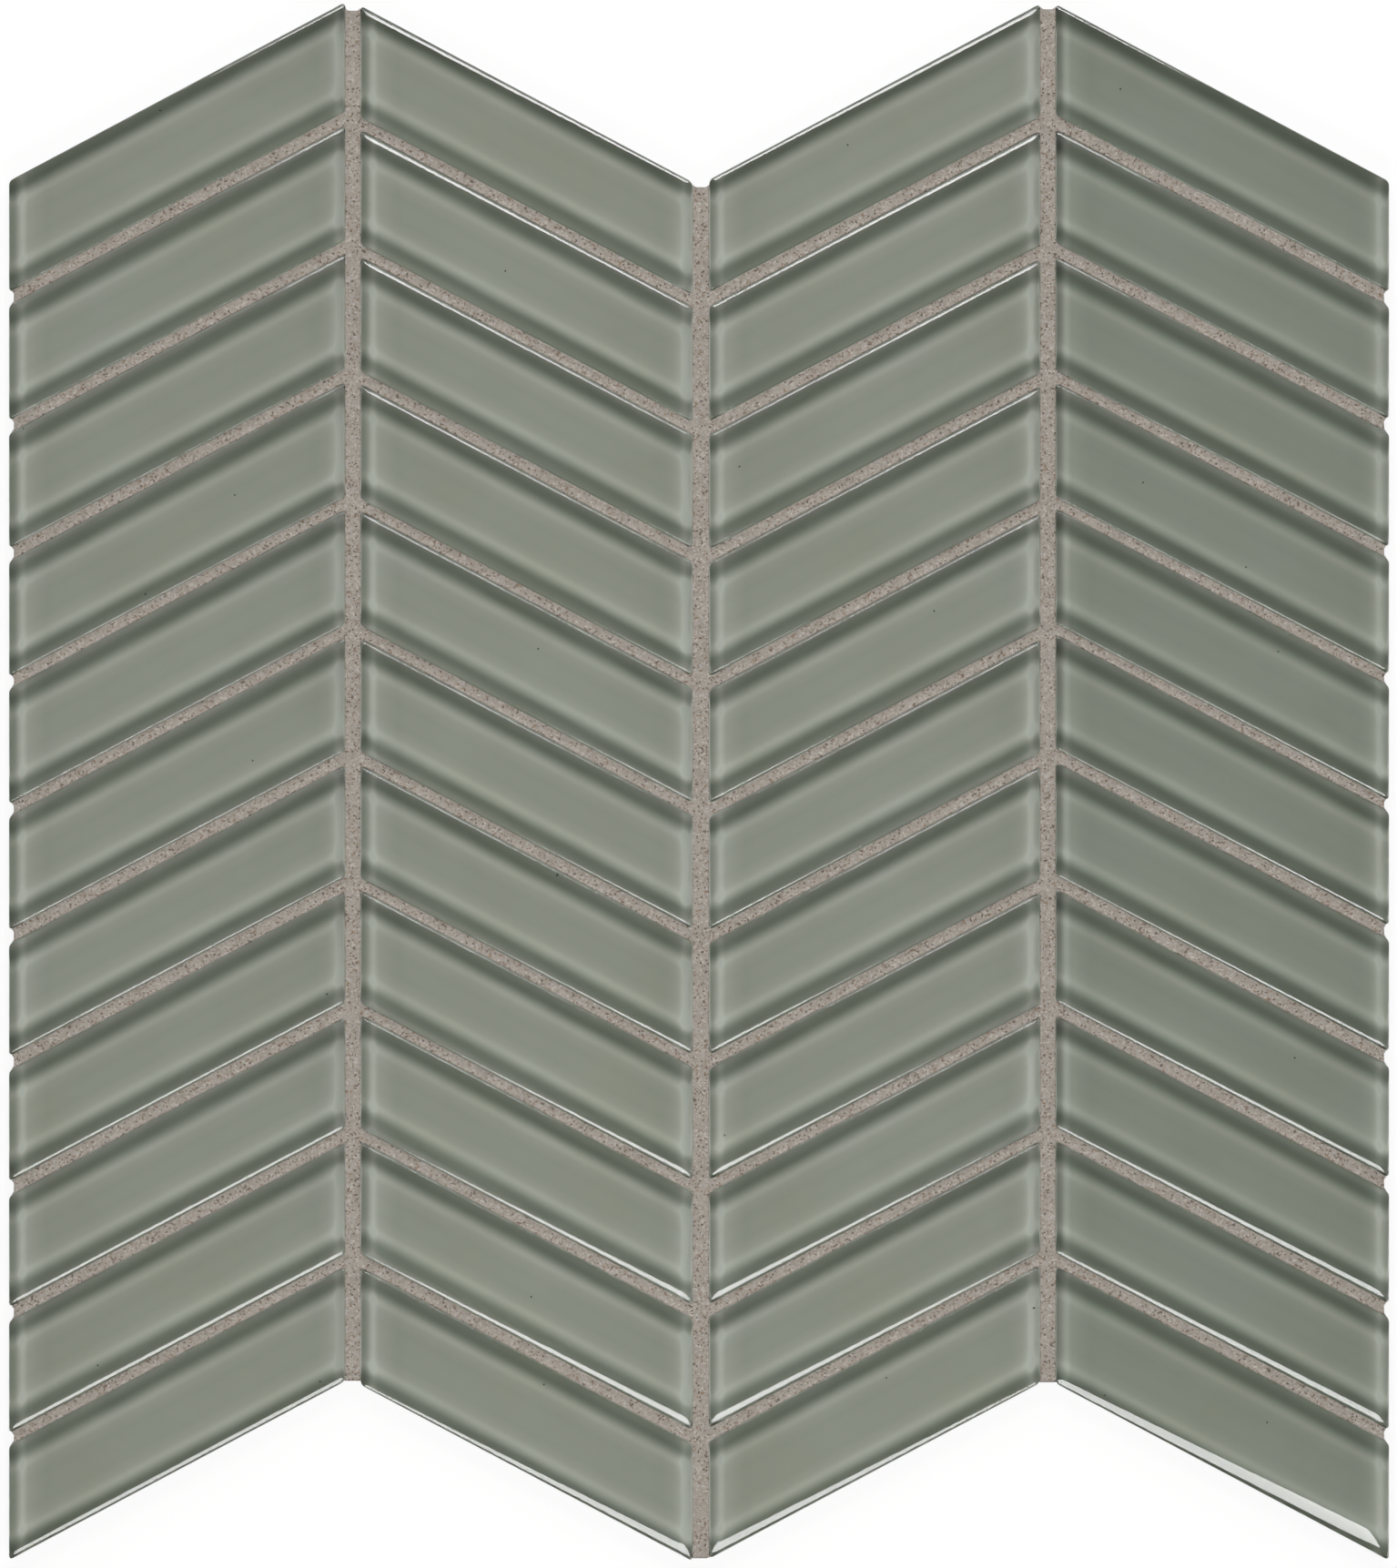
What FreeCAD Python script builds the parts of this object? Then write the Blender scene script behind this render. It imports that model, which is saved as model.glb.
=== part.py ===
import FreeCAD, Part
import os

import Sketcher

# Chevron glass mosaic sheet: columns of slanted glass chips on a glass-fibre mesh, with grouted joints.
# It lies face up. The origin is under the middle of the sheet, and +Y points to the top of the pattern.

# Driving sizes in millimetres, apart from the counts and the slope.
SIZES = [
    ("columns", "4", "columns of chips"),
    ("rows", "11", "chips in a column"),
    ("slope_deg", "28", "how steeply the long sides of a chip climb"),
    ("chip_run", "73", "width of a column, from end to end of a chip"),
    ("chip_width", "22", "square width of a chip between its long sides"),
    ("slant_joint", "2.4", "square width of the joint between two chips of a column"),
    ("column_joint", "3.2", "width of the joint between two columns"),
    ("glass_thickness", "8", "thickness of the glass"),
    ("arris_radius", "1.5", "rounding of the edges round a chip's face"),
    ("grout_drop", "1.6", "how far the grout stays below the face of the glass"),
    ("jointer_radius", "4", "radius of the round tool that strikes the joints hollow"),
    ("joint_hollow", "0.4", "depth of the hollow in the middle of a joint"),
    ("grout_setback", "0.8", "how far the grout stays back from the edge of the sheet"),
    ("mesh_thickness", "0.4", "thickness of the glued mesh"),
    ("mesh_setback", "2.5", "how far the mesh is cut back from the edge of the sheet"),
]

# Sizes worked out from those. A chip's side is its upright end, and a rise is measured along Y.
LAYOUT = [
    ("climb", "=tan(Sizes.slope_deg * 1deg)", "rise of a chip for each millimetre across"),
    ("column_pitch", "=Sizes.chip_run + Sizes.column_joint", "from column to column"),
    ("chip_rise", "=Sizes.chip_run * climb", "rise of a chip from end to end"),
    ("chip_side", "=Sizes.chip_width / cos(Sizes.slope_deg * 1deg)", "height of a chip's end"),
    ("joint_side", "=Sizes.slant_joint / cos(Sizes.slope_deg * 1deg)", "height of a slanted joint's end"),
    ("row_pitch", "=chip_side + joint_side", "from chip to chip up a column"),
    ("half_width", "=(Sizes.columns * column_pitch - Sizes.column_joint) / 2", "half of the sheet's width"),
    ("half_height", "=((Sizes.rows - 1) * row_pitch + chip_side) / 2", "half of a column at its middle"),
    ("lowest_joint", "=(Sizes.rows / 2 - 1) * row_pitch", "from the origin down to the lowest slanted joint"),
    ("strike_height", "=Sizes.glass_thickness - Sizes.grout_drop", "level that the grout is struck to"),
    ("jointer_height", "=strike_height - Sizes.joint_hollow + Sizes.jointer_radius", "jointer's centre"),
]

LEVEL_TOLERANCE = 1e-6


def fill_sheet(doc, name, cells):
    """A spreadsheet with one value, its alias and its meaning on each line."""
    sheet = doc.addObject("Spreadsheet::Sheet", name)
    for line, (alias, value, meaning) in enumerate(cells, start=1):
        sheet.set(f"A{line}", meaning)
        sheet.set(f"B{line}", value)
        sheet.setAlias(f"B{line}", alias)
    doc.recompute()
    return sheet


def origin_part(body, role):
    """One of the planes or axes of the body's own origin."""
    return next(item for item in body.Origin.OriginFeatures if item.Role == role)


def sketch_on(body, role, name):
    """An empty sketch on one of the body's origin planes."""
    sketch = body.newObject("Sketcher::SketchObject", name)
    sketch.AttachmentSupport = (origin_part(body, role), [""])
    sketch.MapMode = "FlatFace"
    return sketch


def bind(sketch, name, constraint, expression):
    """Add a dimension to the sketch and tie it to the sheets."""
    index = sketch.addConstraint(constraint)
    sketch.renameConstraint(index, name)
    sketch.setExpression(f"Constraints.{name}", expression)


def draw_lines(sketch, points):
    """Straight lines from point to point, joined end to end."""
    vectors = [FreeCAD.Vector(x, y, 0) for x, y in points]
    lines = [sketch.addGeometry(Part.LineSegment(*ends)) for ends in zip(vectors, vectors[1:])]
    for line, following in zip(lines, lines[1:]):
        sketch.addConstraint(Sketcher.Constraint("Coincident", line, 2, following, 1))
    return lines


def pad(body, sketch, length):
    """Thicken the sketch upwards."""
    plate = body.newObject("PartDesign::Pad", "Plate")
    plate.Profile = sketch
    plate.setExpression("Length", length)
    return plate


def rises(column):
    """Odd columns climb to the right and even ones fall."""
    return column % 2 == 1


def bind_leg(sketch, line, name, run, run_size, rise, rise_size):
    """Tie the run and the rise of a slanted line that was drawn from left to right."""
    across = Sketcher.Constraint("DistanceX", line, 1, line, 2, run)
    bind(sketch, f"{name}_run", across, run_size)
    low, high = (1, 2) if rise > 0 else (2, 1)
    climbing = Sketcher.Constraint("DistanceY", line, low, line, high, abs(rise))
    bind(sketch, f"{name}_rise", climbing, rise_size)


def draw_chip(sketch, sizes, layout, column):
    """The slanted outline of a chip, centred on the sketch's origin."""
    rise = layout.chip_rise if rises(column) else -layout.chip_rise
    half_run = sizes.chip_run / 2
    half_side = layout.chip_side / 2
    low_left = (-half_run, -rise / 2 - half_side)
    low_right = (half_run, rise / 2 - half_side)
    high_right = (half_run, rise / 2 + half_side)
    high_left = (-half_run, half_side - rise / 2)
    bottom, right, top, left = draw_lines(sketch, [low_left, low_right, high_right, high_left, low_left])
    sketch.addConstraint(Sketcher.Constraint("Coincident", left, 2, bottom, 1))
    sketch.addConstraint(Sketcher.Constraint("Vertical", left))
    sketch.addConstraint(Sketcher.Constraint("Vertical", right))
    sketch.addConstraint(Sketcher.Constraint("Parallel", bottom, top))
    sketch.addConstraint(Sketcher.Constraint("Symmetric", bottom, 1, right, 2, -1, 1))
    bind_leg(sketch, bottom, "chip", sizes.chip_run, "Sizes.chip_run", rise, "Layout.chip_rise")
    upright = Sketcher.Constraint("DistanceY", right, 1, right, 2, layout.chip_side)
    bind(sketch, "side", upright, "Layout.chip_side")


def face_edges(shape, level):
    """The names of the edges that lie in the plate's upper face."""
    edges = enumerate(shape.Edges, start=1)
    return [f"Edge{index}" for index, edge in edges if edge.BoundBox.ZMin > level - LEVEL_TOLERANCE]


def glass_chip(doc, sizes, layout, column, row):
    """One chip: a slanted plate of glass with crisp corners and a soft arris round its face."""
    body = doc.addObject("PartDesign::Body", f"Chip_{column}_{row}")
    body.Label = f"glass_chip_c{column}_r{row:02d}"
    outline = sketch_on(body, "XY_Plane", "ChipOutline")
    draw_chip(outline, sizes, layout, column)
    plate = pad(body, outline, "Sizes.glass_thickness")
    doc.recompute()
    arris = body.newObject("PartDesign::Fillet", "Arris")
    arris.Base = (plate, face_edges(plate.Shape, sizes.glass_thickness))
    arris.setExpression("Radius", "Sizes.arris_radius")
    body.Tip = arris
    body.setExpression("Placement.Base.x", f"({column} - (Sizes.columns + 1) / 2) * Layout.column_pitch")
    body.setExpression("Placement.Base.y", f"((Sizes.rows + 1) / 2 - {row}) * Layout.row_pitch")
    body.setExpression("Placement.Base.z", "Sizes.mesh_thickness")
    doc.recompute()
    return body


def draw_border(sketch, sizes, layout, setback_size, middle, tag):
    """The sheet's upper or lower border from left to right: a leg for each column, level across joints.

    It crosses the middle of every column at the height middle, and the outer legs end at the setback.
    """
    columns = int(sizes.columns)
    setback = getattr(sizes, setback_size)
    points = []
    for column in range(1, columns + 1):
        centre = (column - (columns + 1) / 2) * layout.column_pitch
        climb = layout.climb if rises(column) else -layout.climb
        left = sizes.chip_run / 2 - (setback if column == 1 else 0)
        right = sizes.chip_run / 2 - (setback if column == columns else 0)
        points.append((centre - left, middle - left * climb))
        points.append((centre + right, middle + right * climb))
    lines = draw_lines(sketch, points)
    for column, leg in enumerate(lines[::2], start=1):
        (start_x, start_y), (end_x, end_y) = points[2 * column - 2 : 2 * column]
        outer_ends = int(column == 1) + int(column == columns)
        run_size = f"(Sizes.chip_run - {outer_ends} * Sizes.{setback_size})"
        rise_size = f"{run_size} * Layout.climb"
        bind_leg(sketch, leg, f"{tag}_{column}", end_x - start_x, run_size, end_y - start_y, rise_size)
    for joint, level in enumerate(lines[1::2], start=1):
        sketch.addConstraint(Sketcher.Constraint("Horizontal", level))
        across = Sketcher.Constraint("DistanceX", level, 1, level, 2, sizes.column_joint)
        bind(sketch, f"{tag}_joint_{joint}", across, "Sizes.column_joint")
    return lines


def draw_sheet(sketch, sizes, layout, setback_size):
    """The outline of the whole sheet, at a setback from the outer sides of the chips."""
    setback = getattr(sizes, setback_size)
    middle = layout.half_height - setback
    middle_size = f"(Layout.half_height - Sizes.{setback_size})"
    bottom = draw_border(sketch, sizes, layout, setback_size, -middle, "bottom")
    top = draw_border(sketch, sizes, layout, setback_size, middle, "top")
    for low, high, end in ((bottom[-1], top[-1], 2), (bottom[0], top[0], 1)):
        side = sketch.addGeometry(Part.LineSegment(sketch.getPoint(low, end), sketch.getPoint(high, end)))
        sketch.addConstraint(Sketcher.Constraint("Coincident", side, 1, low, end))
        sketch.addConstraint(Sketcher.Constraint("Coincident", side, 2, high, end))
    sketch.addConstraint(Sketcher.Constraint("Vertical", side))
    height = Sketcher.Constraint("DistanceY", side, 1, side, 2, 2 * middle)
    bind(sketch, "height", height, f"2 * {middle_size}")
    from_side = Sketcher.Constraint("DistanceX", side, 1, -1, 1, layout.half_width - setback)
    bind(sketch, "from_side", from_side, f"Layout.half_width - Sizes.{setback_size}")
    half_leg = sizes.chip_run / 2 - setback
    from_foot = Sketcher.Constraint("DistanceY", side, 1, -1, 1, middle + half_leg * layout.climb)
    half_leg_size = f"(Sizes.chip_run / 2 - Sizes.{setback_size})"
    bind(sketch, "from_foot", from_foot, f"{middle_size} + {half_leg_size} * Layout.climb")


def draw_jointer(sketch, sizes, layout, left, left_size):
    """The round section of the jointer over a joint, at the distance left of the sketch's upright axis."""
    centre = FreeCAD.Vector(-left, layout.jointer_height, 0)
    circle = sketch.addGeometry(Part.Circle(centre, FreeCAD.Vector(0, 0, 1), sizes.jointer_radius))
    radius = Sketcher.Constraint("Radius", circle, sizes.jointer_radius)
    bind(sketch, "radius", radius, "Sizes.jointer_radius")
    height = Sketcher.Constraint("DistanceY", -1, 1, circle, 3, layout.jointer_height)
    bind(sketch, "height", height, "Layout.jointer_height")
    across = Sketcher.Constraint("DistanceX", circle, 3, -1, 1, left)
    bind(sketch, "across", across, left_size)


def repeat(body, feature, axis, spacing, count):
    """Repeat a cut along one of the body's origin axes."""
    pattern = body.newObject("PartDesign::LinearPattern", f"{feature.Name}Row")
    pattern.Originals = [feature]
    pattern.Direction = (origin_part(body, axis), [""])
    pattern.Mode = "Spacing"
    pattern.setExpression("Offset", spacing)
    pattern.setExpression("Occurrences", count)
    body.Tip = pattern


def strike_slanted_joints(doc, body, sizes, layout):
    """Strike the lowest slanted joint hollow along its chevron line, then the others above it."""
    columns = int(sizes.columns)
    half_rise = layout.column_pitch * layout.climb / 2
    left = columns / 2 * layout.column_pitch
    corners = [(-left, -layout.lowest_joint - half_rise)]
    for column in range(1, columns + 1):
        turn = half_rise if rises(column) else -half_rise
        corners.append((column * layout.column_pitch - left, turn - layout.lowest_joint))
    chevron = sketch_on(body, "XY_Plane", "SlantedJoint")
    legs = draw_lines(chevron, corners)
    pitch_size = "Layout.column_pitch"
    for column, leg in enumerate(legs, start=1):
        rise = 2 * half_rise if rises(column) else -2 * half_rise
        rise_size = f"{pitch_size} * Layout.climb"
        bind_leg(chevron, leg, f"leg_{column}", layout.column_pitch, pitch_size, rise, rise_size)
    left_size = f"Sizes.columns / 2 * {pitch_size}"
    bind(chevron, "left", Sketcher.Constraint("DistanceX", legs[0], 1, -1, 1, left), left_size)
    start = layout.lowest_joint + half_rise
    start_size = f"Layout.lowest_joint + {pitch_size} * Layout.climb / 2"
    bind(chevron, "start", Sketcher.Constraint("DistanceY", legs[0], 1, -1, 1, start), start_size)
    section = sketch_on(body, "YZ_Plane", "JointerOnSlant")
    section.setExpression("AttachmentOffset.Base.z", f"-{left_size}")
    draw_jointer(section, sizes, layout, start, start_size)
    hollow = body.newObject("PartDesign::SubtractivePipe", "SlantedHollow")
    hollow.Profile = section
    hollow.Spine = (chevron, [f"Edge{leg}" for leg in range(1, columns + 1)])
    hollow.Mode = "Fixed"
    doc.recompute()
    repeat(body, hollow, "Y_Axis", "Layout.row_pitch", "Sizes.rows - 1")
    doc.recompute()


def strike_column_joints(doc, body, sizes, layout):
    """Strike the straight joint right of the first column hollow, then those right of it."""
    section = sketch_on(body, "XZ_Plane", "JointerOnColumn")
    left = (sizes.columns / 2 - 1) * layout.column_pitch
    draw_jointer(section, sizes, layout, left, "(Sizes.columns / 2 - 1) * Layout.column_pitch")
    hollow = body.newObject("PartDesign::Pocket", "ColumnHollow")
    hollow.Profile = section
    hollow.Type = "ThroughAll"
    hollow.SideType = "Symmetric"
    doc.recompute()
    repeat(body, hollow, "X_Axis", "Layout.column_pitch", "Sizes.columns - 1")
    doc.recompute()


def grout_web(doc, sizes, layout, chips):
    """The grout: one casting round the chips, with its joints struck hollow along both runs."""
    bed = doc.addObject("PartDesign::Body", "GroutBed")
    outline = sketch_on(bed, "XY_Plane", "GroutOutline")
    draw_sheet(outline, sizes, layout, "grout_setback")
    pad(bed, outline, "Layout.strike_height")
    doc.recompute()
    full = bed.Shape.Volume
    strike_slanted_joints(doc, bed, sizes, layout)
    slanted_struck = bed.Shape.Volume
    strike_column_joints(doc, bed, sizes, layout)
    if not full > slanted_struck > bed.Shape.Volume:
        raise RuntimeError("a jointer pass took nothing off the grout")
    bed.setExpression("Placement.Base.z", "Sizes.mesh_thickness")
    glass = doc.addObject("Part::Compound", "Glass")
    glass.Links = chips
    web = doc.addObject("Part::Cut", "GroutWeb")
    web.Label = "grout"
    web.Base = bed
    web.Tool = glass
    doc.recompute()
    return web


def mesh_backing(doc, sizes, layout):
    """The glass-fibre mesh glued across the back of the chips, as the flat sheet that it takes up."""
    body = doc.addObject("PartDesign::Body", "MeshBacking")
    body.Label = "mesh_backing"
    outline = sketch_on(body, "XY_Plane", "MeshOutline")
    draw_sheet(outline, sizes, layout, "mesh_setback")
    pad(body, outline, "Sizes.mesh_thickness")
    doc.recompute()
    return body


def check(doc, nodes):
    """Stop if any object failed to compute or a sub-part isn't one sound solid."""
    for item in doc.Objects:
        if "Invalid" in item.State or "Error" in item.State:
            raise RuntimeError(f"{item.Label} failed: {item.State}")
    for node in nodes:
        if node.Shape.isNull() or not node.Shape.isValid() or len(node.Shape.Solids) != 1:
            raise RuntimeError(f"{node.Label} is not one sound solid")


def main():
    doc = FreeCAD.newDocument("ChevronSheet")
    sizes = fill_sheet(doc, "Sizes", SIZES)
    layout = fill_sheet(doc, "Layout", LAYOUT)
    chips = []
    for column in range(1, int(sizes.columns) + 1):
        for row in range(1, int(sizes.rows) + 1):
            chips.append(glass_chip(doc, sizes, layout, column, row))
    grout = grout_web(doc, sizes, layout, chips)
    mesh = mesh_backing(doc, sizes, layout)
    nodes = [*chips, grout, mesh]
    check(doc, nodes)
    os.makedirs("parts", exist_ok=True)
    for node in nodes:
        node.Shape.exportStep(f"parts/{node.Label}.step")


main()
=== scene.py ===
import math

import bmesh
import bpy
from mathutils import Matrix, Vector, kdtree, noise


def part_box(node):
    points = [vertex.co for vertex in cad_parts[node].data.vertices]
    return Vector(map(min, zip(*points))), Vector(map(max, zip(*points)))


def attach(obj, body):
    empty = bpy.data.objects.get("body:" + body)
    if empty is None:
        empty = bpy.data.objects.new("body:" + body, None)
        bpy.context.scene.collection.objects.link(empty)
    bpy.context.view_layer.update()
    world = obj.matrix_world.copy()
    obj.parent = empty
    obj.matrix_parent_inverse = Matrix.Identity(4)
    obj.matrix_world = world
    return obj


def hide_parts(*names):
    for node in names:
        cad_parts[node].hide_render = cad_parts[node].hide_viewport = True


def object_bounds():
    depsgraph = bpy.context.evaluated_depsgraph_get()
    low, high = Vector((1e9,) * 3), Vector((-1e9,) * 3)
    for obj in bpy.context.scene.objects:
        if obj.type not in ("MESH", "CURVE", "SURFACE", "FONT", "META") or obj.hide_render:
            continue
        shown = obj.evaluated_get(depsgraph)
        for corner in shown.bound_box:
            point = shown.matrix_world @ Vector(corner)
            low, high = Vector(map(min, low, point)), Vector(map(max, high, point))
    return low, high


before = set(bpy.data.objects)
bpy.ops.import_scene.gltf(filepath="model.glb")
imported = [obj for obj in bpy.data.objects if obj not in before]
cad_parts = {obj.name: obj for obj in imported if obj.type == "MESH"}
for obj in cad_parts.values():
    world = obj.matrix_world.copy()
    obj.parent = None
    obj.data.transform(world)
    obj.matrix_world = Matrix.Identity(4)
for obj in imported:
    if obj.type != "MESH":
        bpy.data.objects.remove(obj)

MM = 0.001
COLUMNS = 4
ROWS = 11
SLANT = math.radians(28.0)
QUARTER_TURN = math.radians(90)

# The chips' edges: a wide shallow roll left by the fire, a dulled arris, an upright wall, rounded corners.
# The roll's radius in mm differs between the columns, whose chips came from different firings, and by a
# share between a chip's corners: the lower left, the lower right, the upper right and the upper left.
# In most columns the fire has melted the sharp lower corner most
ROLL_RADIUS = {1: 5.0, 2: 5.5, 3: 5.5, 4: 6.5}
ROLL_SHARES = {1: (1.0, 1.0, 0.85, 0.8), 2: (0.55, 1.45, 0.85, 1.15),
               3: (1.45, 0.55, 1.15, 0.85), 4: (0.6, 1.5, 0.5, 0.6)}
# The chip at the lower right was melted further than the rest
MELTED_CHIP = (COLUMNS, ROWS)
MELTED_SHARE = 2.1
ROLL_TILT = math.radians(13)
ROLL_STEPS = 6
ARRIS_RADIUS = 0.4 * MM
ARRIS_STEPS = 3
CORNER = 0.9 * MM
CORNER_STEPS = 3
# A narrow rim keeps the shading of a chip's face flat
FACE_RIM = 0.03 * MM
# The pieces stay this far clear of each other, so that no two faces lie in one plane.
# It is also how near a point of the grout has to be to count as on its rim, its end or a chip
BED_GAP = 0.02 * MM
# The levels of an edge are joined this far apart, so that no join crosses the chip, then put in place
LEVELS_APART = 20 * MM
# How far a face of a chip looks down to be its back, and how little up or down to be its wall
LOOKS_DOWN = -0.9
LOOKS_LEVEL = 0.01

# The chips are laid by hand: how far in mm each column's left and right ends lie right of the even layout,
# and how far its slanted joints run above it: the top one, the middle ones and the bottom one
COLUMN_SHIFT = {1: (0.2, 0.6), 2: (0.8, 0.3), 3: (0.7, 0.0), 4: (0.2, 0.0)}
JOINT_DRIFT = {1: (0.7, -0.7, 0.1), 2: (0.3, 0.0, 0.9), 3: (0.1, -0.8, 0.9), 4: (0.5, 0.25, 0.9)}
JOINT_WANDER = 0.3 * MM
# Each edge of a slanted joint lies this much further out than in the even layout, give or take the wander
JOINT_EASE = 0.06 * MM
JOINT_EASE_WANDER = 0.3 * MM
# Where a joint reads its wander in the noise: how far right of its column, the step from joint to joint
# and the depth
EASE_NOISE = (0.45, 0.61, 1.5)
LEFT_END_NOISE = (0.2, 0.37, 0.5)
RIGHT_END_NOISE = (0.7, 0.37, 0.5)

# The grout: how high its edges stand, how deep its joints are struck and how wide the flank of the hollow is
GROUT_RIM = 8.05 * MM
GROUT_HOLLOW = 0.3 * MM
GROUT_FLANK = 1.2 * MM
# Its setback at the sheet's edges and at the feet of its upright joints, and the hollow of its ends
GROUT_SETBACK = 0.6 * MM
GROUT_FOOT_SETBACK = GROUT_SETBACK / 4
GROUT_END_HOLLOW = 0.6 * MM
# Its roughness: the grain of the sand, and the slow waves that the jointer left
SAND_SIZE = 0.8 * MM
SAND_RELIEF = 0.05 * MM
WAVE_SIZE = 6 * MM
WAVE_RELIEF = 0.08 * MM
# Its edges by their shortest and longest length: across a joint, along a chip's end and along a chip's side.
# A joint is cut into cells from side to side, and into steps along the chips
ACROSS_JOINT = (1.5 * MM, 6 * MM)
ALONG_END = (6 * MM, 40 * MM)
ALONG_SIDE = (40 * MM, 200 * MM)
GROUT_CELLS = 6
GROUT_STEP = 0.55 * MM
CHIP_END = 25 * MM
CHIP_SIDE = 83 * MM
# A chip whose middle is further than this from a point of the grout, across or up, isn't the nearest one
NEAR_ACROSS = 60 * MM
NEAR_UP = 45 * MM
# A face of the grout that looks up more than this is its struck top, and is smooth
LOOKS_UP = 0.5

# The mesh: flat six-sided yarns at an even pitch, cut back from the edge of the sheet. The single ones
# across the columns fill its thickness up to one share, and the pairs along them from another share up
MESH_SETBACK = 2.5 * MM
YARN_PITCH = 5.0 * MM
YARN_SIDES = 6
WEFT_WIDTH = 0.9 * MM
WEFT_TOP = 0.6
WARP_WIDTH = 0.45 * MM
WARP_APART = 0.7 * MM
WARP_BOTTOM = 0.4
SHORTEST_YARN = YARN_PITCH / 4
# Yarns in one line that are no further apart than this are one yarn
YARN_JOIN = 0.5 * MM
# Half an upright joint and a hair, so that the spans of two columns meet
HALF_JOINT = 1.61 * MM

# The chips' material slots
GLASS, ENAMEL, EDGE = 0, 1, 2

# The room: the floor's reach in metres, how much of its white is its own glow, and the light from all round
FLOOR_REACH = 6.0
PAPER_GLOW = 0.9
ROOM_LIGHT = 0.18

# The photograph's frame in pixels, how much of the object it takes in, and how far its middle is below the
# sheet's. The camera's height is above the chips' faces, in metres
FRAME_HEIGHT = 1723
PIXELS_PER_METRE = 5033.0
FRAME_DROP = 2.0
CAMERA_HEIGHT = 1.6
SENSOR = 36.0

cad_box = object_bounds()


def srgb(hex_colour, alpha=1.0):
    """A colour written as sRGB hex, in the linear values that shaders take."""
    values = [int(hex_colour[i:i + 2], 16) / 255 for i in (0, 2, 4)]
    linear = [v / 12.92 if v <= 0.04045 else ((v + 0.055) / 1.055) ** 2.4 for v in values]
    return (*linear, alpha)


def grey(level):
    return (level, level, level, 1.0)


def new_material(name):
    material = bpy.data.materials.new(name)
    material.use_nodes = True
    material.node_tree.nodes.clear()
    return material


def add_node(material, kind, values=None, links=None, stops=None, **settings):
    """Adds a node: settings are properties, values fill its sockets, links feed them, stops fill a ramp."""
    tree = material.node_tree
    node = tree.nodes.new(kind)
    for name, value in settings.items():
        setattr(node, name, value)
    for socket, value in (values or {}).items():
        node.inputs[socket].default_value = value
    for socket, source in (links or {}).items():
        tree.links.new(source, node.inputs[socket])
    if stops:
        ramp = node.color_ramp
        while len(ramp.elements) < len(stops):
            ramp.elements.new(1.0)
        for element, (position, colour) in zip(ramp.elements, stops):
            element.position = position
            element.color = colour
    return node


def polished_glass():
    # Float glass, fire-polished: clear, a faint green cast, slow waves, sharp glints on its rolled edges
    material = new_material("fire_polished_float_glass")
    wave_length = 9 * MM
    wave_height = 0.05 * MM
    place = add_node(material, "ShaderNodeTexCoord")
    waves = add_node(material, "ShaderNodeTexNoise", {"Scale": 1 / wave_length, "Detail": 1.0},
                     {"Vector": place.outputs["Object"]})
    bump = add_node(material, "ShaderNodeBump", {"Strength": 0.06, "Distance": wave_height},
                    {"Height": waves.outputs["Fac"]})
    clear = {"Base Color": srgb("F6FAF6"), "Roughness": 0.0, "IOR": 1.52, "Transmission Weight": 1.0}
    shader = add_node(material, "ShaderNodeBsdfPrincipled", clear, {"Normal": bump.outputs["Normal"]})
    add_node(material, "ShaderNodeOutputMaterial", links={"Surface": shader.outputs["BSDF"]})
    return material


# How light the enamel is painted at a distance in mm from a chip's long edges and from its left and right
# ends:
# painted light and shade, on top of what the glass throws. The rolled edges throw a light line on it, and
# the bedded walls a dark band
LONG_EDGE_PAINTED_LIGHT = ((0.2, 1.45), (1.2, 0.96), (2.5, 0.68), (3.7, 0.87), (5.1, 1.27), (6.4, 1.11), (8.4, 1.0))
LEFT_END_PAINTED_LIGHT = ((0.0, 0.9), (1.0, 0.97), (2.4, 1.53), (3.6, 1.24), (4.8, 1.12), (7.5, 1.0))
RIGHT_END_PAINTED_LIGHT = ((0.0, 1.1), (1.0, 1.48), (1.8, 1.72), (2.8, 1.33), (3.8, 1.12), (6.0, 1.0))
# Each of these with the map that holds its distance, and the part of that map
PAINTED_EDGE_LIGHTS = (("from_long_edge", "X", LONG_EDGE_PAINTED_LIGHT), ("from_long_edge", "Y", LONG_EDGE_PAINTED_LIGHT),
               ("from_end", "X", LEFT_END_PAINTED_LIGHT), ("from_end", "Y", RIGHT_END_PAINTED_LIGHT))
# The painted light lines leave the enamel no lighter than this
LIGHTEST_PAINTED_ENAMEL = "ECEEE6"
# No pale grout lights the sheet's top and bottom edges, so their painted dark bands start this many mm
# further out
FREE_EDGE_SHIFT = 1.0
# The ramps of painted light and shade reach this many mm in from an edge, and hold levels up to this one
EDGE_REACH = 10.0
LIGHT_RANGE = 2.0
# The share of red and blue that the enamel loses in its painted shade, and the shares it gains in its
# painted light lines as the level doubles
PAINTED_SHADE_GREEN = 0.16
PAINTED_LINE_RED = 0.05
PAINTED_LINE_BLUE = 0.1


def painted_enamel_light(level):
    """A painted level of light on the enamel: greener where little comes through the glass, whiter in the
    lines.
    """
    lost = max(0.0, 1.0 - level)
    gained = max(0.0, level - 1.0)
    red = 1.0 - PAINTED_SHADE_GREEN * lost + PAINTED_LINE_RED * gained
    blue = 1.0 - PAINTED_SHADE_GREEN * lost + PAINTED_LINE_BLUE * gained
    return (level * red / LIGHT_RANGE, level / LIGHT_RANGE, level * blue / LIGHT_RANGE, 1.0)


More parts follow.
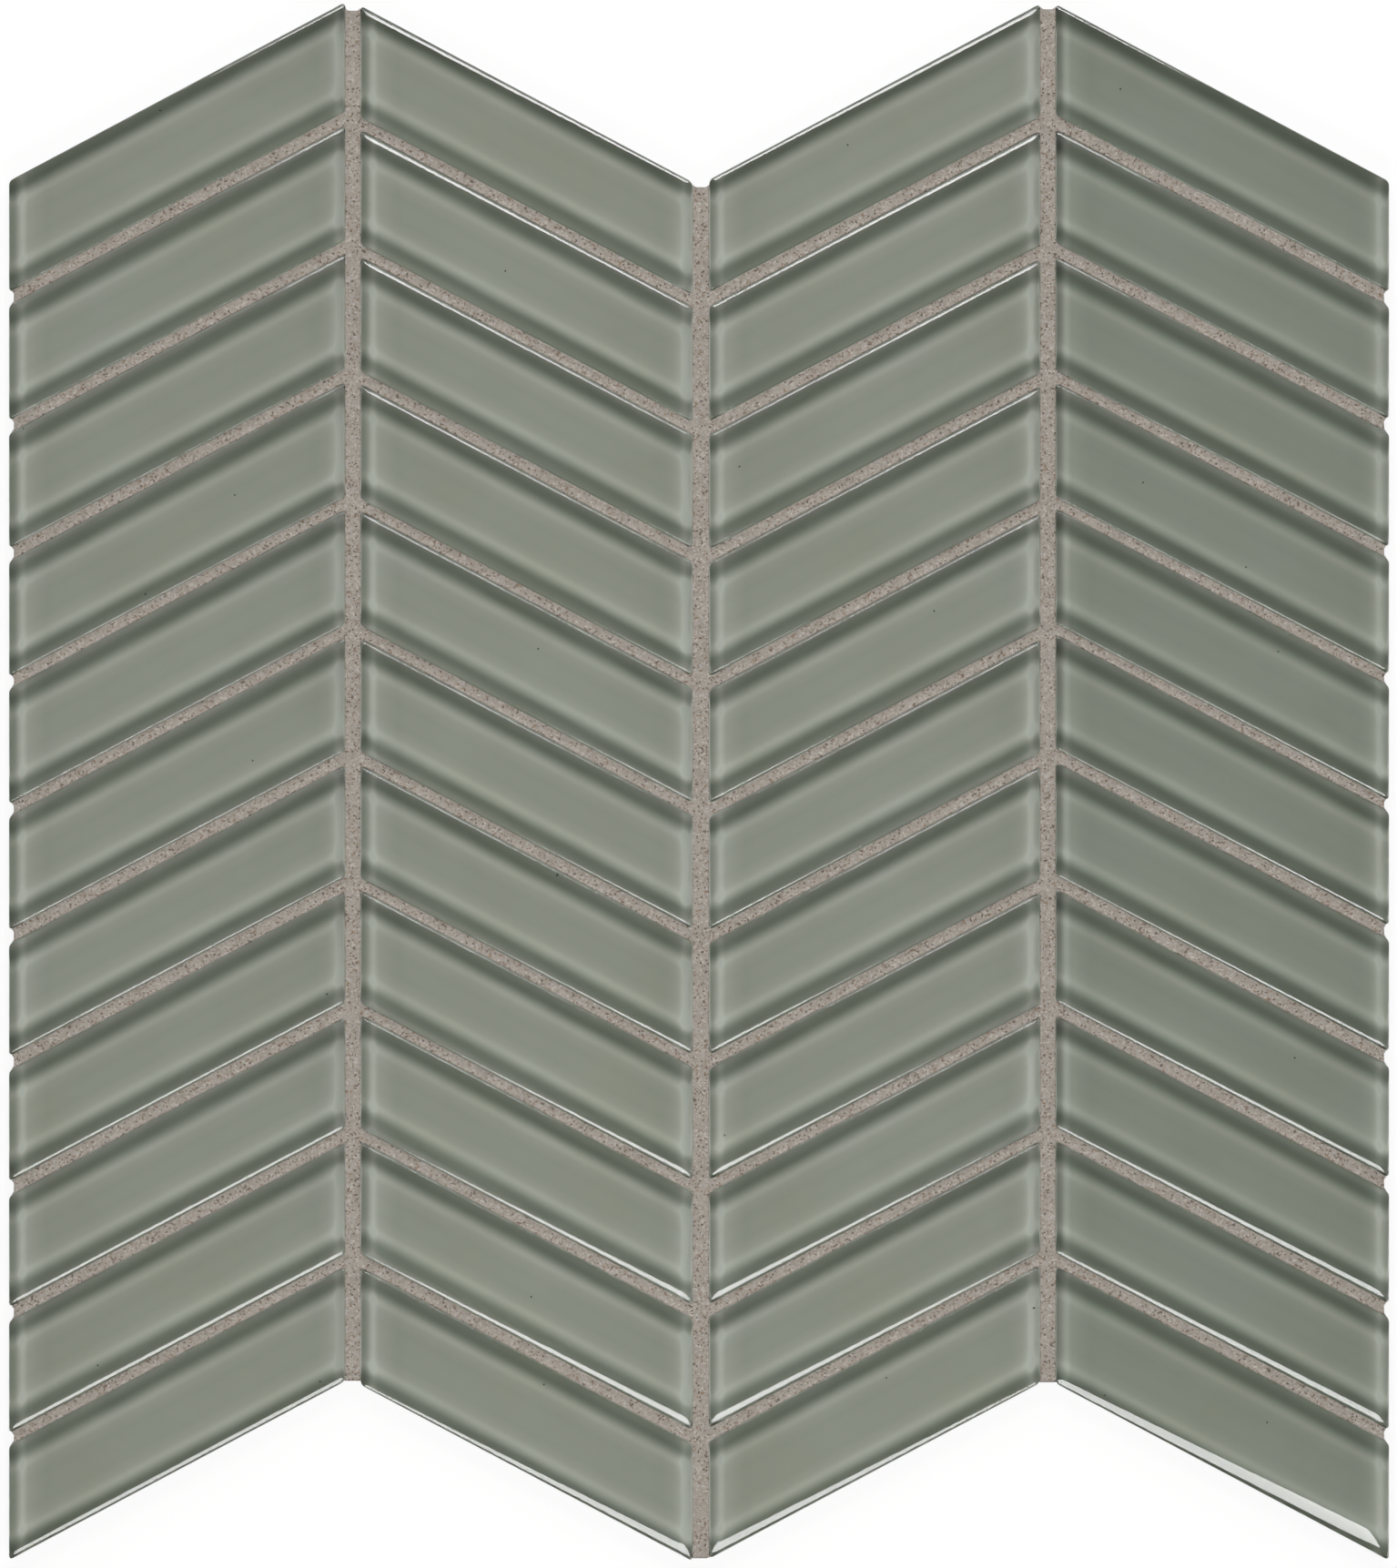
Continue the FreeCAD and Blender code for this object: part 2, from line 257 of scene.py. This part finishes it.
def back_enamel(name, dark, light):
    # Grey-green enamel, rolled on the back and fired: even, a faint mottle, here and there a speck of dirt
    # that was fired in.
    # Over it are painted the light lines and dark edge bands that the glass's rolled edges and bedded walls
    # throw on it
    material = new_material(name)
    mottle_size = 30 * MM
    speck_apart = 60 * MM
    speck_radius = 0.2 * MM
    place = add_node(material, "ShaderNodeTexCoord")
    mottle = add_node(material, "ShaderNodeTexNoise", {"Scale": 1 / mottle_size, "Detail": 3.0},
                      {"Vector": place.outputs["Object"]})
    paint = add_node(material, "ShaderNodeMix", {"A": srgb(dark), "B": srgb(light)},
                     {"Factor": mottle.outputs["Fac"]}, data_type="RGBA")
    specks = add_node(material, "ShaderNodeTexVoronoi", {"Scale": 1 / speck_apart},
                      {"Vector": place.outputs["Object"]}, voronoi_dimensions="2D")
    speck = add_node(material, "ShaderNodeMath", {1: speck_radius / speck_apart},
                     {0: specks.outputs["Distance"]}, operation="LESS_THAN")
    colour = add_node(material, "ShaderNodeMix", {"B": srgb("5A5E52")},
                      {"Factor": speck.outputs[0], "A": paint.outputs["Result"]}, data_type="RGBA")
    # Painted light and shade: each ramp multiplies the enamel's colour by a painted level of light at that
    # distance from an edge
    for map_name, part, light_table in PAINTED_EDGE_LIGHTS:
        edges = add_node(material, "ShaderNodeUVMap", uv_map=map_name)
        apart = add_node(material, "ShaderNodeSeparateXYZ", links={0: edges.outputs["UV"]})
        share = add_node(material, "ShaderNodeMath", {1: EDGE_REACH}, {0: apart.outputs[part]},
                         operation="DIVIDE")
        lights = [(distance / EDGE_REACH, painted_enamel_light(amount)) for distance, amount in light_table]
        level = add_node(material, "ShaderNodeValToRGB", links={"Fac": share.outputs[0]}, stops=lights)
        level.color_ramp.interpolation = "CARDINAL"
        lit = add_node(material, "ShaderNodeVectorMath", {"Scale": LIGHT_RANGE}, {0: level.outputs["Color"]},
                       operation="SCALE")
        colour = add_node(material, "ShaderNodeMix", {"Factor": 1.0},
                          {"A": colour.outputs["Result"], "B": lit.outputs["Vector"]},
                          data_type="RGBA", blend_type="MULTIPLY")
    # The painted light lines are held no lighter than the lightest enamel
    colour = add_node(material, "ShaderNodeMix", {"Factor": 1.0, "B": srgb(LIGHTEST_PAINTED_ENAMEL)},
                      {"A": colour.outputs["Result"]}, data_type="RGBA", blend_type="DARKEN")
    shader = add_node(material, "ShaderNodeBsdfPrincipled", {"Roughness": 0.6, "Specular IOR Level": 0.0},
                      {"Base Color": colour.outputs["Result"]})
    add_node(material, "ShaderNodeOutputMaterial", links={"Surface": shader.outputs["BSDF"]})
    return material


def ground_edge():
    # Glass edge, cut and ground: dull grey-green, a fine grain, dark against the grout.
    # The grit's own marks are too fine to show, so the grain is drawn 1.2 mm across
    material = new_material("ground_glass_edge")
    grain_size = 1.2 * MM
    place = add_node(material, "ShaderNodeTexCoord")
    grain = add_node(material, "ShaderNodeTexNoise", {"Scale": 1 / grain_size, "Detail": 2.0},
                     {"Vector": place.outputs["Object"]})
    colour = add_node(material, "ShaderNodeMix", {"A": srgb("5C6258"), "B": srgb("6A7066")},
                      {"Factor": grain.outputs["Fac"]}, data_type="RGBA")
    shader = add_node(material, "ShaderNodeBsdfPrincipled", {"Roughness": 0.4, "Specular IOR Level": 0.3},
                      {"Base Color": colour.outputs["Result"]})
    add_node(material, "ShaderNodeOutputMaterial", links={"Surface": shader.outputs["BSDF"]})
    return material


def sanded_grout():
    # Sanded cement grout, struck with a rounded jointer: dull warm grey, grains of darker and redder sand.
    # The finest sand is too fine to show, so a grain is drawn 0.35 mm across
    material = new_material("struck_sanded_grout")
    grain_size = 0.35 * MM
    grain_height = 0.15 * MM
    cloud_size = 4 * MM
    place = add_node(material, "ShaderNodeTexCoord")
    grains = add_node(material, "ShaderNodeTexVoronoi", {"Scale": 1 / grain_size},
                      {"Vector": place.outputs["Object"]})
    kind = add_node(material, "ShaderNodeSeparateColor", links={"Color": grains.outputs["Color"]})
    sand = add_node(material, "ShaderNodeValToRGB", links={"Fac": kind.outputs["Red"]},
                    stops=[(0.0, srgb("625850")), (0.05, srgb("7E6D5E")), (0.12, srgb("8E877E")),
                           (0.5, srgb("969089")), (0.9, srgb("A5A099"))])
    sand.color_ramp.interpolation = "CONSTANT"
    clouds = add_node(material, "ShaderNodeTexNoise", {"Scale": 1 / cloud_size, "Detail": 3.0},
                      {"Vector": place.outputs["Object"]})
    shade = add_node(material, "ShaderNodeValToRGB", links={"Fac": clouds.outputs["Fac"]},
                     stops=[(0.35, grey(0.9)), (0.6, grey(1.0))])
    colour = add_node(material, "ShaderNodeMix", {"Factor": 1.0},
                      {"A": sand.outputs["Color"], "B": shade.outputs["Color"]},
                      data_type="RGBA", blend_type="MULTIPLY")
    bump = add_node(material, "ShaderNodeBump", {"Strength": 0.4, "Distance": grain_height},
                    {"Height": kind.outputs["Green"]})
    shader = add_node(material, "ShaderNodeBsdfPrincipled", {"Roughness": 0.95, "Specular IOR Level": 0.0},
                      {"Base Color": colour.outputs["Result"], "Normal": bump.outputs["Normal"]})
    add_node(material, "ShaderNodeOutputMaterial", links={"Surface": shader.outputs["BSDF"]})
    return material


def coated_yarn():
    # Glass-fibre yarn, woven open and dipped in resin: off-white, fine streaks of fibre, a slight sheen.
    # A single fibre is too fine to show, so a streak is drawn 0.3 mm across
    material = new_material("resin_dipped_glass_fibre_yarn")
    streak_size = 0.3 * MM
    streak_height = 0.05 * MM
    place = add_node(material, "ShaderNodeTexCoord")
    fibres = add_node(material, "ShaderNodeTexNoise", {"Scale": 1 / streak_size, "Detail": 2.0},
                      {"Vector": place.outputs["Object"]})
    colour = add_node(material, "ShaderNodeMix", {"A": srgb("D9D8D0"), "B": srgb("F1F0EA")},
                      {"Factor": fibres.outputs["Fac"]}, data_type="RGBA")
    bump = add_node(material, "ShaderNodeBump", {"Strength": 0.5, "Distance": streak_height},
                    {"Height": fibres.outputs["Fac"]})
    shader = add_node(material, "ShaderNodeBsdfPrincipled", {"Roughness": 0.55, "IOR": 1.5},
                      {"Base Color": colour.outputs["Result"], "Normal": bump.outputs["Normal"]})
    add_node(material, "ShaderNodeOutputMaterial", links={"Surface": shader.outputs["BSDF"]})
    return material


def white_floor():
    # Matt white paper: the background stays white, and a little of the object's shadow falls on it
    material = new_material("matt_white_paper")
    ray = add_node(material, "ShaderNodeLightPath")
    seen = add_node(material, "ShaderNodeMath", operation="MAXIMUM",
                    links={0: ray.outputs["Is Camera Ray"], 1: ray.outputs["Is Glossy Ray"]})
    seen = add_node(material, "ShaderNodeMath", operation="MAXIMUM",
                    links={0: seen.outputs[0], 1: ray.outputs["Is Transmission Ray"]})
    share = add_node(material, "ShaderNodeMath", {1: PAPER_GLOW}, {0: seen.outputs[0]}, operation="MULTIPLY")
    paper = add_node(material, "ShaderNodeBsdfDiffuse", {"Color": srgb("F4F4F2")})
    white = add_node(material, "ShaderNodeEmission", {"Color": srgb("FFFFFF"), "Strength": 1.0})
    mixed = add_node(material, "ShaderNodeMixShader",
                     links={0: share.outputs[0], 1: paper.outputs["BSDF"], 2: white.outputs["Emission"]})
    add_node(material, "ShaderNodeOutputMaterial", links={"Surface": mixed.outputs["Shader"]})
    return material


def new_piece(name, shape, materials):
    """A mesh object made of a finished bmesh."""
    mesh = bpy.data.meshes.new(name)
    shape.to_mesh(mesh)
    shape.free()
    for material in materials:
        mesh.materials.append(material)
    piece = bpy.data.objects.new(name, mesh)
    bpy.context.scene.collection.objects.link(piece)
    return piece


def chip_node(column, row):
    return f"glass_chip_c{column}_r{row:02d}"


def end_lifts(column, width):
    """How far a slanted edge's left and right are above its lower end: odd columns rise to the right."""
    rise = width * math.tan(SLANT)
    return (0.0, rise) if column % 2 == 1 else (rise, 0.0)


def joint_noise(column, joint, place):
    """A value of the noise that belongs to one joint of one column."""
    right, step, depth = place
    return noise.noise((column + right, step * joint, depth))


def joint_shift(column, joint, side):
    """How far a joint's upper (side 1) or lower (side -1) edge is above the even layout, left and right."""
    if not 0 < joint < ROWS:
        return 0.0, 0.0
    down = (joint - 1) / (ROWS - 2)
    up = 1 - down
    top, middle, bottom = JOINT_DRIFT[column]
    # A parabola through the three drifts
    drift = top * up * (up - down) + middle * 4 * down * up + bottom * down * (down - up)
    ease = JOINT_EASE + JOINT_EASE_WANDER * joint_noise(column, joint, EASE_NOISE)
    even = drift * MM + side * ease
    ends = (LEFT_END_NOISE, RIGHT_END_NOISE)
    return [even + JOINT_WANDER * joint_noise(column, joint, end) for end in ends]


def chip_corners(column, row):
    """The four plan corners of a chip as it was laid, counterclockwise from the lower left."""
    low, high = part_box(chip_node(column, row))
    left, right = end_lifts(column, high.x - low.x)
    slope = math.tan(SLANT) if right > left else -math.tan(SLANT)
    start, end = (shift * MM for shift in COLUMN_SHIFT[column])
    above = joint_shift(column, row - 1, -1)
    below = joint_shift(column, row, 1)
    return [
        Vector((low.x + start, low.y + left + slope * start + below[0], low.z)),
        Vector((high.x + end, low.y + right + slope * end + below[1], low.z)),
        Vector((high.x + end, high.y - left + slope * end + above[1], low.z)),
        Vector((low.x + start, high.y - right + slope * start + above[0], low.z)),
    ]


def edge_planes(corners):
    """Each edge of a plan outline as a point on it and its outward way: bottom, right, top, left."""
    planes = []
    for start, end in zip(corners, corners[1:] + corners[:1]):
        along = (end - start).normalized()
        planes.append((start, Vector((along.y, -along.x, 0.0))))
    return planes


def corner_ways(corners, index):
    """The ways from a corner of a plan outline along its two edges."""
    corner = corners[index]
    back = (corners[index - 1] - corner).normalized()
    on = (corners[(index + 1) % len(corners)] - corner).normalized()
    return back, on


def edge_levels(column, row):
    """How far in from a chip's wall and below its face each level of its edge is, from the face down."""
    levels = [(0.0, 0.0)]
    roll_radius = ROLL_RADIUS[column] * MM
    if (column, row) == MELTED_CHIP:
        roll_radius *= MELTED_SHARE
    for radius, shallow, steep, count in ((roll_radius, 0.0, ROLL_TILT, ROLL_STEPS),
                                          (ARRIS_RADIUS, ROLL_TILT, QUARTER_TURN, ARRIS_STEPS)):
        tilts = [shallow + (steep - shallow) * step / count for step in range(count + 1)]
        for before, after in zip(tilts, tilts[1:]):
            out, below = levels[-1]
            levels.append((out + radius * (math.sin(after) - math.sin(before)),
                           below + radius * (math.cos(before) - math.cos(after))))
    wall = levels[-1][0]
    return [(wall - out, below) for out, below in levels]


def taken_in(corners, inwards):
    """A plan outline with each corner moved in from its two edges by a distance of its own."""
    moved = []
    for index, corner in enumerate(corners):
        back, on = corner_ways(corners, index)
        moved.append(corner + (back + on) * inwards[index] / math.sin(back.angle(on)))
    return moved


def chip_level(shape, corners, inwards, height):
    """One level of a chip: its outline taken in, with rounded corners."""
    others = set(shape.faces)
    level = shape.faces.new([shape.verts.new((c.x, c.y, height)) for c in taken_in(corners, inwards)])
    bmesh.ops.bevel(shape, geom=level.verts[:], offset=CORNER, offset_type="OFFSET", affect="VERTICES",
                    segments=CORNER_STEPS, profile=0.5, material=-1)
    return next(face for face in shape.faces if face not in others)


def measure_from_edges(shape, corners, row):
    """Two maps in mm: how far each point is from the chip's two long edges, and from its two ends."""
    long_map = shape.loops.layers.uv.new("from_long_edge")
    end_map = shape.loops.layers.uv.new("from_end")
    planes = edge_planes(corners)
    # The sheet's outer top and bottom edges count further off, so the painted dark bands start further out
    # there
    below = FREE_EDGE_SHIFT if row == ROWS else 0.0
    above = FREE_EDGE_SHIFT if row == 1 else 0.0
    for face in shape.faces:
        for loop in face.loops:
            bottom, right, top, left = [(start - loop.vert.co).dot(out) / MM for start, out in planes]
            loop[long_map].uv = (bottom + below, top + above)
            loop[end_map].uv = (left, right)


def glass_chip(column, row, materials):
    """One chip, from its face down: the levels of its rolled edge, its wall and its painted back."""
    node = chip_node(column, row)
    low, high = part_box(node)
    corners = chip_corners(column, row)
    shares = ROLL_SHARES[column]
    shape = bmesh.new()
    plan = edge_levels(column, row) + [(0.0, 0.0)]
    levels = []
    for index, (inward, below) in enumerate(plan):
        inwards = [BED_GAP + inward * share for share in shares]
        levels.append(chip_level(shape, corners, inwards, -LEVELS_APART * index))
    rings = [level.verts[:] for level in levels]
    for above, under in zip(levels, levels[1:]):
        bmesh.ops.bridge_loops(shape, edges=above.edges[:] + under.edges[:])
    bmesh.ops.delete(shape, geom=levels[1:-1], context="FACES_ONLY")
    for ring, (inward, below) in zip(rings[:-1], plan):
        for vert in ring:
            nearest = min(range(len(corners)), key=lambda index: (vert.co - corners[index]).xy.length)
            vert.co.z = high.z - below * shares[nearest]
    for vert in rings[-1]:
        vert.co.z = low.z + BED_GAP
    bmesh.ops.recalc_face_normals(shape, faces=shape.faces)
    bmesh.ops.inset_region(shape, faces=[levels[0]], thickness=FACE_RIM)
    measure_from_edges(shape, corners, row)
    shape.normal_update()
    for face in shape.faces:
        face.material_index = GLASS
        face.smooth = True
        if face.normal.z < LOOKS_DOWN:
            face.material_index = ENAMEL
            face.smooth = False
        elif abs(face.normal.z) < LOOKS_LEVEL:
            face.material_index = EDGE
    chip = new_piece(f"{node}_glass", shape, materials)
    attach(chip, "root")
    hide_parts(node)
    return chip


def joint_top(column):
    """The upper end of the upright joint on a column's right."""
    return min(chip_corners(column, 1)[2].y, chip_corners(column + 1, 1)[3].y) - GROUT_SETBACK


def joint_bottom(column):
    """The lower end of the upright joint on a column's right, almost flush with the chips."""
    return max(chip_corners(column, ROWS)[1].y, chip_corners(column + 1, ROWS)[0].y) + GROUT_FOOT_SETBACK


def joint_plan(shape):
    """The grout's plan: a grid, less a cell for each chip, with its points taken to the chips' corners."""
    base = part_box("grout")[0].z + BED_GAP
    across = 2 * COLUMNS - 1
    up = 2 * ROWS - 1
    bmesh.ops.create_grid(shape, x_segments=across, y_segments=up, size=0.5)
    bmesh.ops.translate(shape, verts=shape.verts, vec=(0.5, 0.5, 0.0))
    bmesh.ops.scale(shape, verts=shape.verts, vec=(across, up, 1.0))
    middles = {cell: cell.calc_center_median() for cell in shape.faces}
    cells = [cell for cell, middle in middles.items() if int(middle.x) % 2 == 0 and int(middle.y) % 2 == 0]
    bmesh.ops.delete(shape, geom=cells, context="FACES")
    for vert in shape.verts:
        step_right, step_up = round(vert.co.x), round(vert.co.y)
        corners = chip_corners(step_right // 2 + 1, ROWS - step_up // 2)
        lower_left, lower_right, upper_right, upper_left = corners
        ends = (upper_left, upper_right) if step_up % 2 else (lower_left, lower_right)
        vert.co = ends[step_right % 2].xy.to_3d() + Vector((0.0, 0.0, base))
        if step_right in (0, across):
            inward = GROUT_SETBACK if step_right == 0 else -GROUT_SETBACK
            vert.co += Vector((inward, GROUT_SETBACK * math.tan(SLANT), 0.0))
        if step_up == 0:
            vert.co.y = joint_bottom((step_right + 1) // 2)
        elif step_up == up:
            vert.co.y = joint_top((step_right + 1) // 2)


def nearest_chip(place, outlines):
    """How far a point of the grout is from the nearest chip."""
    nearest = math.inf
    for middle, planes in outlines:
        if abs(place.x - middle.x) < NEAR_ACROSS and abs(place.y - middle.y) < NEAR_UP:
            nearest = min(nearest, max((place - start).dot(out) for start, out in planes))
    return nearest


def corner_round(corners, index):
    """A chip's plan corner, with the centre and the radius of the round that takes it off."""
    corner = corners[index]
    back, on = corner_ways(corners, index)
    half = back.angle(on) / 2
    radius = CORNER * math.tan(half)
    return corner, corner + (back + on).normalized() * radius / math.sin(half), radius


def strike_joints(shape):
    """Gives the grout's top its hollow and its grain, and fits it to the chips' rounded corners."""
    chips = [chip_corners(column, row) for column in range(1, COLUMNS + 1) for row in range(1, ROWS + 1)]
    outlines = [(sum(corners, Vector()) / len(corners), edge_planes(corners)) for corners in chips]
    rounds = [corner_round(corners, index) for corners in chips for index in range(len(corners))]
    nearest_round = kdtree.KDTree(len(rounds))
    for index, (corner, centre, radius) in enumerate(rounds):
        nearest_round.insert(corner, index)
    nearest_round.balance()
    left_end = chip_corners(1, 1)[0].x + GROUT_SETBACK
    right_end = chip_corners(COLUMNS, 1)[1].x - GROUT_SETBACK
    joint_tops = [joint_top(column) for column in range(1, COLUMNS)]
    for vert in shape.verts:
        if vert.co.z < GROUT_RIM - BED_GAP:
            continue
        place = vert.co.copy()
        away = nearest_chip(place, outlines)
        hollow = 1 - (1 - min(max(away, 0.0) / GROUT_FLANK, 1.0)) ** 2
        grain = SAND_RELIEF * noise.noise(place / SAND_SIZE) + WAVE_RELIEF * noise.noise(place / WAVE_SIZE)
        vert.co.z += grain - GROUT_HOLLOW * hollow
        if not left_end + BED_GAP < place.x < right_end - BED_GAP:
            vert.co.x -= math.copysign(GROUT_END_HOLLOW * hollow, place.x)
        elif min(abs(place.y - top_end) for top_end in joint_tops) < BED_GAP:
            vert.co.y -= GROUT_END_HOLLOW * hollow
        elif away < BED_GAP:
            corner, centre, radius = rounds[nearest_round.find(Vector((place.x, place.y, chips[0][0].z)))[1]]
            if (place - corner).to_2d().length < CORNER:
                spoke = (place - centre).to_2d().normalized() * radius
                vert.co.x = centre.x + spoke.x
                vert.co.y = centre.y + spoke.y


def grout_web(material):
    """The grout in all the joints: its plan raised to the rim, cut finely on top, then struck."""
    shape = bmesh.new()
    joint_plan(shape)
    raised = bmesh.ops.extrude_face_region(shape, geom=shape.faces[:])["geom"]
    top = [part for part in raised if isinstance(part, bmesh.types.BMVert)]
    bmesh.ops.translate(shape, verts=top, vec=(0, 0, GROUT_RIM - top[0].co.z))
    bmesh.ops.recalc_face_normals(shape, faces=shape.faces)
    for (shortest, longest), cuts in ((ACROSS_JOINT, GROUT_CELLS - 1),
                                      (ALONG_END, int(CHIP_END / GROUT_STEP)),
                                      (ALONG_SIDE, int(CHIP_SIDE / GROUT_STEP))):
        upper = [edge for edge in shape.edges if min(vert.co.z for vert in edge.verts) > GROUT_RIM - BED_GAP]
        runs = [edge for edge in upper if shortest < edge.calc_length() < longest]
        bmesh.ops.subdivide_edges(shape, edges=runs, cuts=cuts, use_grid_fill=True)
    strike_joints(shape)
    bmesh.ops.triangulate(shape, faces=[face for face in shape.faces if len(face.verts) > 4])
    for face in shape.faces:
        face.smooth = face.normal.z > LOOKS_UP
    web = new_piece("grout_web", shape, [material])
    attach(web, "root")
    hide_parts("grout")


def column_span(column):
    """A column's left and right, and how high its edges are there, set back for the mesh: lower, upper."""
    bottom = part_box(chip_node(column, ROWS))[0]
    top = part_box(chip_node(column, 1))[1]
    left, right = end_lifts(column, top.x - bottom.x)
    margin = MESH_SETBACK / math.cos(SLANT)
    lower = [bottom.y + left + margin, bottom.y + right + margin]
    upper = [top.y - right - margin, top.y - left - margin]
    return bottom.x - HALF_JOINT, top.x + HALF_JOINT, lower, upper


def yarn(shape, start, end, width, low, high):
    """One flat yarn from start to end, with corners at its sides and flats above and below."""
    along = end - start
    corner_turn = math.pi / YARN_SIDES
    ring = bmesh.ops.create_circle(shape, cap_ends=True, segments=YARN_SIDES, radius=0.5)["verts"]
    face = ring[0].link_faces[0]
    bmesh.ops.rotate(shape, verts=ring, matrix=Matrix.Rotation(corner_turn, 3, "Z"))
    bmesh.ops.scale(shape, verts=ring, vec=(width, (high - low) / math.cos(corner_turn), 1.0))
    turn = Matrix.Rotation(QUARTER_TURN, 3, "X")
    if abs(along.x) > abs(along.y):
        turn = Matrix.Rotation(QUARTER_TURN, 3, "Z") @ turn
    bmesh.ops.rotate(shape, verts=ring, matrix=turn)
    bmesh.ops.translate(shape, verts=ring, vec=start + Vector((0, 0, (low + high) / 2)))
    drawn = bmesh.ops.extrude_face_region(shape, geom=[face])["geom"]
    far_end = [part for part in drawn if isinstance(part, bmesh.types.BMVert)]
    bmesh.ops.translate(shape, verts=far_end, vec=along)


def warp_ends(x, spans):
    """Where a yarn along the columns starts and ends."""
    left, right, lower, upper = next(span for span in spans if span[0] <= x <= span[1])
    part = (x - left) / (right - left)
    return (Vector((x, lower[0] + (lower[1] - lower[0]) * part, 0.0)),
            Vector((x, upper[0] + (upper[1] - upper[0]) * part, 0.0)))


def weft_ends(y, span, low, high):
    """Where a yarn across one column starts and ends, cut off by the column's slanted edges."""
    left, right, lower, upper = span
    start = max(left, low.x)
    end = min(right, high.x)
    for bound, cuts_above in ((upper, True), (lower, False)):
        if min(bound) < y < max(bound):
            meet = left + (right - left) * (y - bound[0]) / (bound[1] - bound[0])
            rises = bound[1] > bound[0]
            if rises == cuts_above:
                start = max(start, meet)
            else:
                end = min(end, meet)
        elif (y > max(bound)) == cuts_above:
            end = start
    return start, end


def weft_runs(y, spans, low, high):
    """The yarns across the sheet at one height, each as long as the columns beside each other let it be."""
    runs = []
    for span in spans:
        start, end = weft_ends(y, span, low, high)
        if end - start > SHORTEST_YARN:
            if runs and start - runs[-1][1] < YARN_JOIN:
                runs[-1][1] = end
            else:
                runs.append([start, end])
    return runs


def mesh_weave(material):
    """An open weave of flat yarns on the chips' backs: single ones across the columns, pairs along them."""
    shape = bmesh.new()
    low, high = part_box("mesh_backing")
    thick = high.z - low.z
    spans = [column_span(column) for column in range(1, COLUMNS + 1)]
    count = int((high.x - low.x) / 2 / YARN_PITCH)
    for step in range(-count, count + 1):
        for side in (-0.5, 0.5):
            x = step * YARN_PITCH + side * WARP_APART
            if low.x < x < high.x:
                start, end = warp_ends(x, spans)
                yarn(shape, start, end, WARP_WIDTH, low.z + WARP_BOTTOM * thick, high.z)
    count = int((high.y - low.y) / 2 / YARN_PITCH)
    for step in range(-count, count + 1):
        y = step * YARN_PITCH
        for left, right in weft_runs(y, spans, low, high):
            start = Vector((left, y, 0.0))
            end = Vector((right, y, 0.0))
            yarn(shape, start, end, WEFT_WIDTH, low.z, low.z + WEFT_TOP * thick)
    bmesh.ops.recalc_face_normals(shape, faces=shape.faces)
    weave = new_piece("mesh_weave", shape, [material])
    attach(weave, "root")
    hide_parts("mesh_backing")


def lay_floor():
    shape = bmesh.new()
    bmesh.ops.create_grid(shape, x_segments=1, y_segments=1, size=FLOOR_REACH)
    new_piece("floor", shape, [white_floor()])


def soft_light(name, azimuth, elevation, distance, width, height, power):
    """An oval lamp, turned to the middle of the sheet, in degrees, metres and watts."""
    lamp = bpy.data.lights.new(name, "AREA")
    lamp.shape = "ELLIPSE"
    lamp.size = width
    lamp.size_y = height
    lamp.energy = power
    turn = math.radians(azimuth)
    lift = math.radians(elevation)
    away = Vector((math.sin(turn) * math.cos(lift), -math.cos(turn) * math.cos(lift), math.sin(lift)))
    stand = bpy.data.objects.new(name, lamp)
    stand.location = away * distance
    stand.rotation_euler = away.to_track_quat("Z", "Y").to_euler()
    bpy.context.scene.collection.objects.link(stand)


def light_studio():
    """A pale room and three lamps: the near one glints in the lower rolls, the far strip in the upper."""
    soft_light("near_light", azimuth=0, elevation=61.7, distance=0.7, width=0.44, height=0.192, power=2.6)
    soft_light("far_strip", azimuth=180, elevation=65, distance=1.3, width=0.66, height=0.18, power=5.0)
    soft_light("far_light", azimuth=180, elevation=38, distance=1.0, width=2.0, height=0.76, power=8.5)
    world = bpy.data.worlds.new("room")
    world.use_nodes = True
    world.node_tree.nodes["Background"].inputs["Color"].default_value = srgb("FFFFFF")
    world.node_tree.nodes["Background"].inputs["Strength"].default_value = ROOM_LIGHT
    bpy.context.scene.world = world


def place_camera():
    """A camera straight above the sheet, which sees what the photograph's frame takes in."""
    camera = bpy.data.cameras.new("camera")
    camera.sensor_fit = "AUTO"
    camera.sensor_width = SENSOR
    seen_height = FRAME_HEIGHT / PIXELS_PER_METRE
    face_height = cad_box[1].z
    camera.lens = SENSOR * CAMERA_HEIGHT / seen_height
    stand = bpy.data.objects.new("camera", camera)
    stand.location = (0.0, -FRAME_DROP / PIXELS_PER_METRE, face_height + CAMERA_HEIGHT)
    bpy.context.scene.collection.objects.link(stand)
    bpy.context.scene.camera = stand


glass = polished_glass()
edge = ground_edge()
# Each enamel's colour has the edge light and shade painted into it
enamel = back_enamel("rolled_grey_green_enamel_painted_edge_light", "B7B9A9", "BEC1B8")
darker_enamel = back_enamel("rolled_grey_green_enamel_darker_batch", "ACAFA0", "B2B7AC")
for column_number in range(1, COLUMNS + 1):
    for row_number in range(1, ROWS + 1):
        paint = darker_enamel if column_number == COLUMNS else enamel
        laid = glass_chip(column_number, row_number, [glass, paint, edge])
grout_web(sanded_grout())
mesh_weave(coated_yarn())

lay_floor()
light_studio()
place_camera()
bpy.context.scene.view_settings.view_transform = "Standard"
